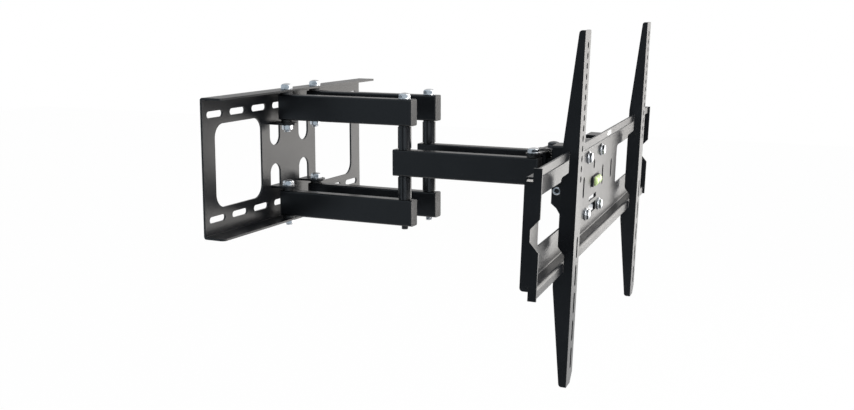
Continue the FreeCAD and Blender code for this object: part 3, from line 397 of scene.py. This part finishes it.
def make_edge_group():
    """Rounded normal along sharp edges, and a mask that rises where it leaves the face's own normal."""
    group, inside, outside = new_group(
        "sheet_edges",
        [("Radius", 0.001)],
        [("Normal", "NodeSocketVector"), ("Edge", "NodeSocketFloat")],
    )
    bevel = group.nodes.new("ShaderNodeBevel")
    bevel.samples = EDGE_SAMPLES
    group.links.new(inside.outputs["Radius"], bevel.inputs["Radius"])
    face = group.nodes.new("ShaderNodeNewGeometry").outputs["Normal"]
    edge = map_range(group, dot_node(group, bevel.outputs["Normal"], face), EDGE_RANGE)
    group.links.new(bevel.outputs["Normal"], outside.inputs["Normal"])
    group.links.new(edge, outside.inputs["Edge"])
    return group


EDGES = make_edge_group()
SURFACE = make_surface_group()


# Finishes


def new_material(name):
    """Material with its node tree and its main shader."""
    material = bpy.data.materials.new(name)
    material.use_nodes = True
    return material, material.node_tree, material.node_tree.nodes["Principled BSDF"]


def place_group(tree, group, **values):
    """Outputs of a node group placed in a material with its own input values."""
    node = tree.nodes.new("ShaderNodeGroup")
    node.node_tree = group
    for label, value in values.items():
        node.inputs[label.replace("_", " ")].default_value = value
    return node.outputs


def colour_ramp(tree, factor, dark, light, span=CLOUD_RANGE):
    """Colour that goes from dark to light as the factor crosses a span."""
    node = tree.nodes.new("ShaderNodeValToRGB")
    for step, colour in enumerate((dark, light)):
        node.color_ramp.elements[step].position = span[step]
        node.color_ramp.elements[step].color = (*colour, 1.0)
    tree.links.new(factor, node.inputs["Fac"])
    return node.outputs["Color"]


def mix_colour(tree, factor, first, second):
    """A node's colour mixed towards a plain one by a factor."""
    mix = tree.nodes.new("ShaderNodeMix")
    mix.data_type = "RGBA"
    tree.links.new(factor, mix.inputs["Factor"])
    tree.links.new(first, mix.inputs[FIRST_COLOUR])
    mix.inputs[SECOND_COLOUR].default_value = (*second, 1.0)
    return mix.outputs[MIXED_COLOUR]


def add_bump(tree, shader, height, strength, distance, normal=None):
    """Relief from a height, over another normal where one is given."""
    bump = tree.nodes.new("ShaderNodeBump")
    bump.inputs["Strength"].default_value = strength
    bump.inputs["Distance"].default_value = distance
    tree.links.new(height, bump.inputs["Height"])
    if normal:
        tree.links.new(normal, bump.inputs["Normal"])
    tree.links.new(bump.outputs["Normal"], shader.inputs["Normal"])


def make_finish(name, dark, light, peel_scale, cloud_scale, roughness, bump=None, metallic=0.0):
    """Material whose colour and roughness drift with its cloudiness.

    The bump is a strength and a distance for its fine peel, and a finish without one is smooth.
    """
    material, tree, shader = new_material(name)
    surface = place_group(tree, SURFACE, Peel_Scale=peel_scale, Cloud_Scale=cloud_scale)
    tree.links.new(colour_ramp(tree, surface["Cloud"], dark, light), shader.inputs["Base Color"])
    tree.links.new(map_range(tree, surface["Cloud"], CLOUD_RANGE, roughness), shader.inputs["Roughness"])
    shader.inputs["Metallic"].default_value = metallic
    if bump:
        add_bump(tree, shader, surface["Height"], *bump)
    return material


def make_powder_coat():
    """Satin black powder coat: blue-black colour that drifts, fine peel, faint dust, and edges lightened in
    patches, part worn paint and part painted highlight.
    """
    dark, light = (0.0062, 0.0068, 0.0085), (0.0105, 0.0112, 0.0132)
    dusty, bare_and_highlight = (0.06, 0.06, 0.062), (0.05, 0.052, 0.056)
    material, tree, shader = new_material("powder_coat")
    surface = place_group(tree, SURFACE, Peel_Scale=850.0, Cloud_Scale=11.0)
    edges = place_group(tree, EDGES, Radius=0.0005)
    colour = colour_ramp(tree, surface["Cloud"], dark, light)
    dust = math_node(tree, "MULTIPLY", surface["Dust"], DUST_SHARE)
    colour = mix_colour(tree, dust, colour, dusty)
    # Edges lighter in patches: part worn paint, part painted highlight along the edges.
    rubbed_and_highlight = math_node(tree, "MULTIPLY", edges["Edge"], surface["Cloud"])
    colour = mix_colour(tree, math_node(tree, "MULTIPLY", rubbed_and_highlight, RUBBED_AND_HIGHLIGHT_SHARE), colour, bare_and_highlight)
    tree.links.new(colour, shader.inputs["Base Color"])
    roughness = map_range(tree, surface["Cloud"], CLOUD_RANGE, (0.27, 0.36))
    tree.links.new(roughness, shader.inputs["Roughness"])
    shader.inputs["IOR"].default_value = 1.46
    add_bump(tree, shader, surface["Height"], strength=0.22, distance=0.00025, normal=edges["Normal"])
    return material


def make_plastic():
    """Moulded black end plug: matte, with a fine spark texture."""
    dark, light = (0.011, 0.011, 0.012), (0.019, 0.019, 0.02)
    return make_finish(
        "moulded_plug", dark, light,
        peel_scale=1500.0, cloud_scale=30.0, roughness=(0.42, 0.52), bump=(0.35, 0.0002),
    )


def make_zinc():
    """Bright zinc plate: silver with cool cloudiness and a fine grain."""
    dark, light = (0.5, 0.52, 0.55), (0.76, 0.78, 0.8)
    return make_finish(
        "zinc_plate", dark, light,
        peel_scale=1800.0, cloud_scale=160.0, roughness=(0.2, 0.36), bump=(0.12, 0.0001), metallic=1.0,
    )


def make_bush():
    """Dark nylon of the bushes and washers."""
    dark, light = (0.02, 0.02, 0.021), (0.035, 0.035, 0.036)
    return make_finish(
        "nylon_bush", dark, light,
        peel_scale=700.0, cloud_scale=60.0, roughness=(0.4, 0.55), bump=(0.2, 0.0002),
    )


def make_vial():
    """Yellow-green level fluid in a clear tube: colour that drifts a little, glossy."""
    dark, light = (0.42, 0.56, 0.2), (0.56, 0.69, 0.33)
    return make_finish(
        "level_fluid", dark, light,
        peel_scale=300.0, cloud_scale=45.0, roughness=(0.16, 0.24),
    )


def make_bubble():
    """Air bubble in the front of the tube: pale green, glossy."""
    dark, light = (0.72, 0.86, 0.45), (0.8, 0.9, 0.56)
    return make_finish(
        "level_bubble", dark, light,
        peel_scale=300.0, cloud_scale=90.0, roughness=(0.1, 0.18),
    )


def make_oxide():
    """Black-oxide steel of the darker bolts: oily, mostly metallic."""
    dark, light = (0.09, 0.092, 0.098), (0.16, 0.164, 0.172)
    return make_finish(
        "black_oxide", dark, light,
        peel_scale=1600.0, cloud_scale=120.0, roughness=(0.32, 0.46), bump=(0.15, 0.0001), metallic=0.8,
    )


def make_post_painted_sheen():
    """Satin steel tube of the elbow posts: smoother than the coat, and grey-black, paler than it, as painted
    sheen.
    """
    # Paler than the coat: painted sheen on the posts.
    dark, light = (0.02, 0.021, 0.0235), (0.028, 0.0292, 0.0325)
    return make_finish(
        "satin_post_painted_sheen", dark, light,
        peel_scale=1300.0, cloud_scale=40.0, roughness=(0.12, 0.17), bump=(0.1, 0.0001),
    )


def make_white_mark():
    """Blank matte white, with a faint fine grain."""
    dark, light = (0.78, 0.78, 0.76), (0.84, 0.84, 0.83)
    return make_finish(
        "blank_white_mark", dark, light,
        peel_scale=1200.0, cloud_scale=220.0, roughness=(0.5, 0.65), bump=(0.1, 0.00005),
    )


COAT = make_powder_coat()
PLUG = make_plastic()
ZINC = make_zinc()
BUSH = make_bush()
VIAL = make_vial()
BUBBLE = make_bubble()
OXIDE = make_oxide()
POST = make_post_painted_sheen()
WHITE_MARK_FINISH = make_white_mark()
FINISH = {"coat": COAT, "plug": PLUG, "zinc": ZINC, "bush": BUSH, "vial": VIAL}

for part in frame["record"]["subparts"]:
    node = frame["nodes"][part["node"]]
    node.data.materials.clear()
    node.data.materials.append(FINISH[part["material_slot"]])


# Studio


def add_camera():
    """Camera solved from the object's own edges, holes and pivots."""
    data = bpy.data.cameras.new("camera")
    data.sensor_fit = "HORIZONTAL"
    data.sensor_width = SENSOR_WIDTH
    data.lens = CAMERA_LENS
    data.clip_end = CLIP_END
    camera = bpy.data.objects.new("camera", data)
    bpy.context.scene.collection.objects.link(camera)
    camera.location = CAMERA_PLACE
    level = math.cos(CAMERA_PITCH)
    ahead = Vector((math.cos(CAMERA_YAW) * level, math.sin(CAMERA_YAW) * level, math.sin(CAMERA_PITCH)))
    camera.rotation_euler = ahead.to_track_quat("-Z", "Y").to_euler()
    bpy.context.scene.camera = camera


def add_soft_light(name, location, target, width, height, power, colour=NEUTRAL):
    """Rectangular softbox that faces a target."""
    data = bpy.data.lights.new(name, "AREA")
    data.shape = "RECTANGLE"
    data.size = width
    data.size_y = height
    data.energy = power
    data.color = colour
    lamp = bpy.data.objects.new(name, data)
    bpy.context.scene.collection.objects.link(lamp)
    lamp.location = location
    lamp.rotation_euler = (Vector(target) - Vector(location)).to_track_quat("-Z", "Y").to_euler()


def add_background(tree, strength, colour):
    """Background of one strength and colour, each a plain value or a node's output."""
    node = tree.nodes.new("ShaderNodeBackground")
    feed(tree, strength, node.inputs["Strength"])
    feed(tree, colour, node.inputs["Color"])
    return node.outputs["Background"]


def mix_shaders(tree, factor, first, second):
    """Shader that goes from the first to the second as the factor goes from 0 to 1."""
    mix = tree.nodes.new("ShaderNodeMixShader")
    tree.links.new(factor, mix.inputs["Fac"])
    tree.links.new(first, mix.inputs[1])
    tree.links.new(second, mix.inputs[2])
    return mix.outputs["Shader"]


def kinds_of_ray(tree):
    """Values that are 1 for rays from the camera, and for rays that a glossy or clear surface sends on."""
    path = tree.nodes.new("ShaderNodeLightPath").outputs
    mirror = math_node(tree, "MAXIMUM", path["Is Glossy Ray"], path["Is Transmission Ray"])
    return path["Is Camera Ray"], mirror


def set_world():
    """Backdrop that is white to the camera.

    Its light fades to a dim cool studio on the left, and reflections show a wall with a dark doorway.
    """
    world = bpy.data.worlds.new("studio")
    bpy.context.scene.world = world
    world.use_nodes = True
    tree = world.node_tree
    tree.nodes.clear()
    place = tree.nodes.new("ShaderNodeTexCoord").outputs["Generated"]
    ramp = map_range(tree, dot_node(tree, place, BRIGHT_SIDE), BRIGHT_RANGE, interpolation="SMOOTHSTEP")
    tint = colour_ramp(tree, ramp, COOL_TINT, WARM_TINT, TINT_RANGE)
    lit = math_node(tree, "ADD", math_node(tree, "MULTIPLY", ramp, SIDE_LIGHT), DIM_LIGHT)
    doorway = dot_node(tree, place, DOORWAY)
    mirrored = map_range(tree, doorway, DOORWAY_RANGE, (MIRRORED_WALL, MIRRORED_DOORWAY), "SMOOTHSTEP")
    camera_ray, mirror_ray = kinds_of_ray(tree)
    glow, backdrop = add_background(tree, lit, tint), add_background(tree, mirrored, tint)
    reflected = mix_shaders(tree, mirror_ray, glow, backdrop)
    seen = mix_shaders(tree, camera_ray, reflected, add_background(tree, 1.0, WHITE))
    tree.links.new(seen, tree.nodes.new("ShaderNodeOutputWorld").inputs["Surface"])


def make_pale_floor():
    """Pale matte material that is near white to the camera and in reflections."""
    material = bpy.data.materials.new("pale_floor")
    material.use_nodes = True
    tree = material.node_tree
    tree.nodes.clear()
    diffuse = tree.nodes.new("ShaderNodeBsdfDiffuse")
    diffuse.inputs["Color"].default_value = PALE
    white = tree.nodes.new("ShaderNodeEmission")
    camera_ray, mirror_ray = kinds_of_ray(tree)
    seen = math_node(tree, "MAXIMUM", camera_ray, math_node(tree, "MULTIPLY", mirror_ray, FLOOR_MIRRORED))
    share = math_node(tree, "MULTIPLY", seen, FLOOR_WHITE)
    shader = mix_shaders(tree, share, diffuse.outputs["BSDF"], white.outputs["Emission"])
    tree.links.new(shader, tree.nodes.new("ShaderNodeOutputMaterial").inputs["Surface"])
    return material


def add_floor():
    """Floor a metre below the wall plate's middle, which still takes the mount's soft shadow."""
    near = [(FLOOR_LEFT, FLOOR_NEAR, FLOOR_LEVEL), (FLOOR_RIGHT, FLOOR_NEAR, FLOOR_LEVEL)]
    far = [(FLOOR_RIGHT, FLOOR_FAR, FLOOR_LEVEL), (FLOOR_LEFT, FLOOR_FAR, FLOOR_LEVEL)]
    mesh = bpy.data.meshes.new("floor")
    mesh.from_pydata(near + far, [], [(0, 1, 2, 3)])
    floor = bpy.data.objects.new("floor", mesh)
    bpy.context.scene.collection.objects.link(floor)
    mesh.materials.append(make_pale_floor())


bpy.context.scene.view_settings.view_transform = "Standard"
add_camera()
set_world()
add_floor()
add_soft_light(
    "right_softbox", (3.2, -1.9, 0.1), (0.0, -0.5, 0.0),
    width=2.4, height=2.6, power=50.0, colour=WARM,
)
add_soft_light("top_softbox", (0.2, -1.6, 2.2), (0.0, -0.3, 0.0), width=1.8, height=1.2, power=30.0)
add_soft_light("front_softbox", (-0.2, -3.4, 0.5), (0.0, -0.3, 0.0), width=2.2, height=1.8, power=60.0)


# Fasteners with cone-cut corners and threads


def wall_fasteners():
    """Shoulder bolts through each flange and its tongue, with a nut under the tongue or the flange."""
    meshes = []
    for x in (-PIVOT_X, PIVOT_X):
        for top, under, nut in ((WALL_TOP, LUG_UNDER, NUT_HEIGHT), (-LUG_UNDER, -WALL_TOP, THIN_NUT)):
            head, foot = np.array([x, SHOULDER_Y, top]), np.array([x, SHOULDER_Y, under])
            shank = under - top + SHANK_INSET
            meshes.append(bolt_head("bolt", head, UP, RIGHT, BOLT_HEAD, TALL_HEAD))
            meshes.append(hex_nut("nut", foot, -UP, RIGHT, BOLT_HEAD, nut))
            meshes.append(bolt_end("end", foot, -UP, RIGHT, BOLT_RADIUS, shank, nut + BOLT_TIP))
    nodes = ("upper_shoulder_bolts", "upper_shoulder_nuts", "lower_shoulder_bolts", "lower_shoulder_nuts")
    add_piece("shoulder_fasteners", meshes, ZINC, "wall", nodes)


def elbow_fasteners(side, x, tip):
    """Long bolt down through two elbow posts: bright head above, threaded end in its own finish below."""
    top, under = np.array([x, ELBOW_Y, ARM_TOP]), np.array([x, ELBOW_Y, -ARM_TOP])
    head = bolt_head("bolt", top, UP, RIGHT, BOLT_HEAD, TALL_HEAD)
    add_piece(f"{side}_elbow_head", [head], ZINC, f"{side}_arm", (f"{side}_elbow_bolt",))
    shank = -2.0 * ARM_TOP + SHANK_INSET
    end = bolt_end("end", under, -UP, RIGHT, BOLT_RADIUS, shank, ELBOW_TIP)
    add_piece(f"{side}_elbow_shank", [end], tip, f"{side}_arm")
    posts = [elbow_post("post", np.array([x, ELBOW_Y, 0.0]), hand * UP) for hand in (1.0, -1.0)]
    add_piece(f"{side}_elbow_posts", posts, POST, f"{side}_arm", (f"{side}_elbow_spacers",))


def wrist_bolt(x):
    """Bolt head, nut and threaded end at one ear of the yoke."""
    head, foot = np.array([x, WRIST_Y, YOKE_TOP]), np.array([x, WRIST_Y, -YOKE_TOP])
    shank, tip = SHANK_INSET - 2.0 * YOKE_TOP, NUT_HEIGHT + BOLT_TIP
    return [
        bolt_head("bolt", head, UP, RIGHT, BOLT_HEAD, HEAD_HEIGHT),
        hex_nut("nut", foot, -UP, RIGHT, BOLT_HEAD, NUT_HEIGHT),
        bolt_end("end", foot, -UP, RIGHT, BOLT_RADIUS, shank, tip),
    ]


def wrist_fasteners():
    """Bright bolt on the near ear of the yoke, black one on the far ear, and the low painted swivel pin."""
    near, far = wrist_bolt(-PIVOT_X), wrist_bolt(PIVOT_X)
    nodes = ("wrist_bolts", "wrist_nuts")
    add_piece("left_wrist_fasteners", near, ZINC, "wrist", nodes)
    add_piece("right_wrist_fasteners", far, OXIDE, "wrist")
    top = np.array([0.0, WRIST_Y, YOKE_TOP])
    head = socket_head("pin", top, UP, RIGHT, PIN_HEAD, PIN_HEAD_HEIGHT, PIN_SOCKET)
    levels = np.array([-2.0 * YOKE_TOP - PIN_END, 0.0])
    shank = turned("pin", top, UP, RIGHT, levels, PIN_RADIUS)
    add_piece("swivel_pin_with_socket", [head, shank], COAT, "wrist", ("swivel_pin",))


def tilt_fasteners():
    """Socket-headed pivot bolts outside the tilt brackets' cheeks, nutted inside the knuckle, with a black
    disc in each socket as painted shade.
    """
    bright, dark = [], []
    shank, tip = SHANK_INSET - (CHEEK_OUTER - CHEEK_INNER), TILT_NUT_HEIGHT + BOLT_TIP
    for hand in (-1.0, 1.0):
        out = hand * SCREEN_X
        seat = screen_point(hand * CHEEK_OUTER, PLATE_REACH, -PLATE_RISE)
        inside = screen_point(hand * CHEEK_INNER, PLATE_REACH, -PLATE_RISE)
        on_seat = seat + SEAT_HEIGHT * out
        dark.append(disc("seat", seat, out, UP, SEAT_RADIUS, SEAT_HEIGHT))
        # Black disc at the bottom of each socket: painted shade in its hollow.
        dark.append(disc("socket", on_seat, out, UP, SOCKET_SHADE_RADIUS, SOCKET_SHADE_HEIGHT))
        bright.append(socket_head("bolt", on_seat, out, UP, TILT_HEAD, TILT_HEAD_HEIGHT, TILT_SOCKET))
        bright.append(hex_nut("nut", inside, -out, UP, TILT_NUT, TILT_NUT_HEIGHT))
        bright.append(bolt_end("end", inside, -out, UP, TILT_BOLT, shank, tip))
    add_piece("tilt_fasteners", bright, ZINC, "head", ("tilt_bolts", "tilt_nuts"))
    add_piece("tilt_seats_and_socket_shade", dark, PLUG, "head")


def plate_fasteners():
    """Hexagon bolts with washers from the front of the screen plate, nutted behind the tilt brackets."""
    meshes = []
    shank, tip = -SHEET_BACK - WING + SHEET_FRONT, PLATE_NUT + BOLT_TIP
    for x in (-PLATE_BOLT_X, PLATE_BOLT_X):
        for z in (-PLATE_BOLT_Z, PLATE_BOLT_Z):
            front = screen_point(x, SHEET_FRONT, z)
            back = screen_point(x, SHEET_BACK + WING, z)
            seat = front + PLATE_WASHER_HEIGHT * SCREEN_FRONT
            meshes.append(disc("washer", front, SCREEN_FRONT, SCREEN_X, PLATE_WASHER, PLATE_WASHER_HEIGHT))
            meshes.append(bolt_head("bolt", seat, SCREEN_FRONT, SCREEN_X, PLATE_HEAD, PLATE_HEAD_HEIGHT))
            meshes.append(hex_nut("nut", back, -SCREEN_FRONT, SCREEN_X, PLATE_HEAD, PLATE_NUT))
            meshes.append(bolt_end("end", back, -SCREEN_FRONT, SCREEN_X, PLATE_BOLT, shank, tip))
    nodes = ("plate_bolts", "plate_washers", "plate_nuts")
    add_piece("plate_fasteners", meshes, ZINC, "screen", nodes)


# Spirit level, weld beads and white mark


def vial_section():
    """Oval section: rise * proud / hypot(proud cos a, rise sin a) at angle a."""
    angle = round_angles()
    return VIAL_RISE * VIAL_PROUD / np.hypot(VIAL_PROUD * np.cos(angle), VIAL_RISE * np.sin(angle))


def vial_tube(middle):
    """Tube of oval section that closes at both ends as (1 - |s|^10)^0.4."""
    along = np.linspace(-1.0, 1.0, VIAL_ROWS)
    closing = np.clip(1.0 - np.abs(along) ** 10, 0.0, 1.0) ** 0.4 * (1.0 - VIAL_POLE) + VIAL_POLE
    return turned("vial", middle, SCREEN_X, SCREEN_UP, along * VIAL_HALF, closing[:, None] * vial_section())


def vial_bubble(middle):
    """Bubble with the profile of an ellipse, sqrt(1 - s^2), high in the front of the vial."""
    along = np.linspace(-1.0, 1.0, VIAL_ROWS)
    swell = BUBBLE_RADIUS * np.sqrt(np.clip(1.0 - along ** 2, 0.0, 1.0)) + BUBBLE_POLE
    high = middle + BUBBLE_UP * VIAL_RISE * SCREEN_UP + BUBBLE_OUT * VIAL_PROUD * SCREEN_FRONT
    return turned("bubble", high, SCREEN_X, SCREEN_UP, along * BUBBLE_HALF, swell[:, None])


def vial_line(place):
    """Thin band round the vial, a hair proud of it."""
    along, share = np.array([(-1.0, 0.5), (-1.0, 1.0), (1.0, 1.0), (1.0, 0.5)]).T
    radii = share[:, None] * (vial_section() + LINE_PROUD)
    return turned("line", place, SCREEN_X, SCREEN_UP, along * LINE_HALF, radii)


def spirit_level():
    """Green vial with a bubble and two lines on a black tray, and a strap beside it, flush with the sheet. A
    black plate fills the window in the sheet behind them as painted shade in the gaps.
    """
    middle = screen_point(VIAL_X, SHEET_FRONT - TRAY_PROUD, TRAY_Z)
    vial = vial_tube(middle)
    add_piece("level_tube", [vial], VIAL, "screen", ("level_vial",))
    bubble = vial_bubble(middle)
    add_piece("level_bubble", [bubble], BUBBLE, "screen")
    black = [vial_line(middle + place * SCREEN_X) for place in (-LINE_X, LINE_X)]
    tray = screen_point(TRAY_X, SHEET_FRONT - 0.5 * TRAY_PROUD, TRAY_Z)
    black.append(soft_block("tray", tray, TRAY_HALF, 0.5 * TRAY_PROUD, TRAY_RISE))
    # Black plate that fills the window in the sheet: painted shade in the gaps round the tray and strap.
    back = screen_point(WINDOW_X, SHEET_FRONT + WINDOW_SHADE_INSET, WINDOW_Z)
    black.append(soft_block("back", back, WINDOW_HALF, WINDOW_SHADE_DEPTH, WINDOW_RISE))
    add_piece("level_tray_and_window_shade", black, PLUG, "screen", ("level_caps",))
    place = screen_point(STRAP_X, SHEET_FRONT + STRAP_DEPTH, WINDOW_Z)
    strap = soft_block("strap", place, STRAP_HALF, STRAP_DEPTH, WINDOW_RISE)
    add_piece("level_strap", [strap], COAT, "screen")


def end_welds():
    """Weld bead that closes the corner between each end flange and the lower rail."""
    beads = []
    middle_y, z = 0.5 * (END_STEP + SHEET_BACK), -END_LOW - BEAD_DROP
    half_depth = 0.5 * (SHEET_BACK - END_STEP) - BEAD_PLAY
    for hand in (-1.0, 1.0):
        place = screen_point(hand * (PLATE_HALF - BEAD_INSET), middle_y, z)
        beads.append(soft_block("bead", place, BEAD_HALF, half_depth, BEAD_RISE))
    add_piece("end_welds", beads, COAT, "screen")


def rail_mark():
    """White mark on the top rail: a rounded square drawn out and raised a fraction of a millimetre.

    A row is a share of the outline and a height above the rail.
    """
    across, upward = rounded_square()
    middle = screen_point(MARK_X, RAIL_FRONT, RAIL_TOP - MARK_DROP)
    outline = MARK_HALF * across[:, None] * SCREEN_X + MARK_RISE * upward[:, None] * SCREEN_UP
    share, lift = np.array([(1.0, 0.0), (1.0, 0.14), (0.99, 0.18)]).T[:, :, None, None]
    mesh = grid_mesh("mark", middle + share * outline[None] + lift * SCREEN_FRONT)
    add_piece("rail_mark", [mesh], WHITE_MARK_FINISH, "screen")


wall_fasteners()
elbow_fasteners("left", -PIVOT_X, OXIDE)
elbow_fasteners("right", PIVOT_X, ZINC)
wrist_fasteners()
tilt_fasteners()
plate_fasteners()
spirit_level()
end_welds()
rail_mark()
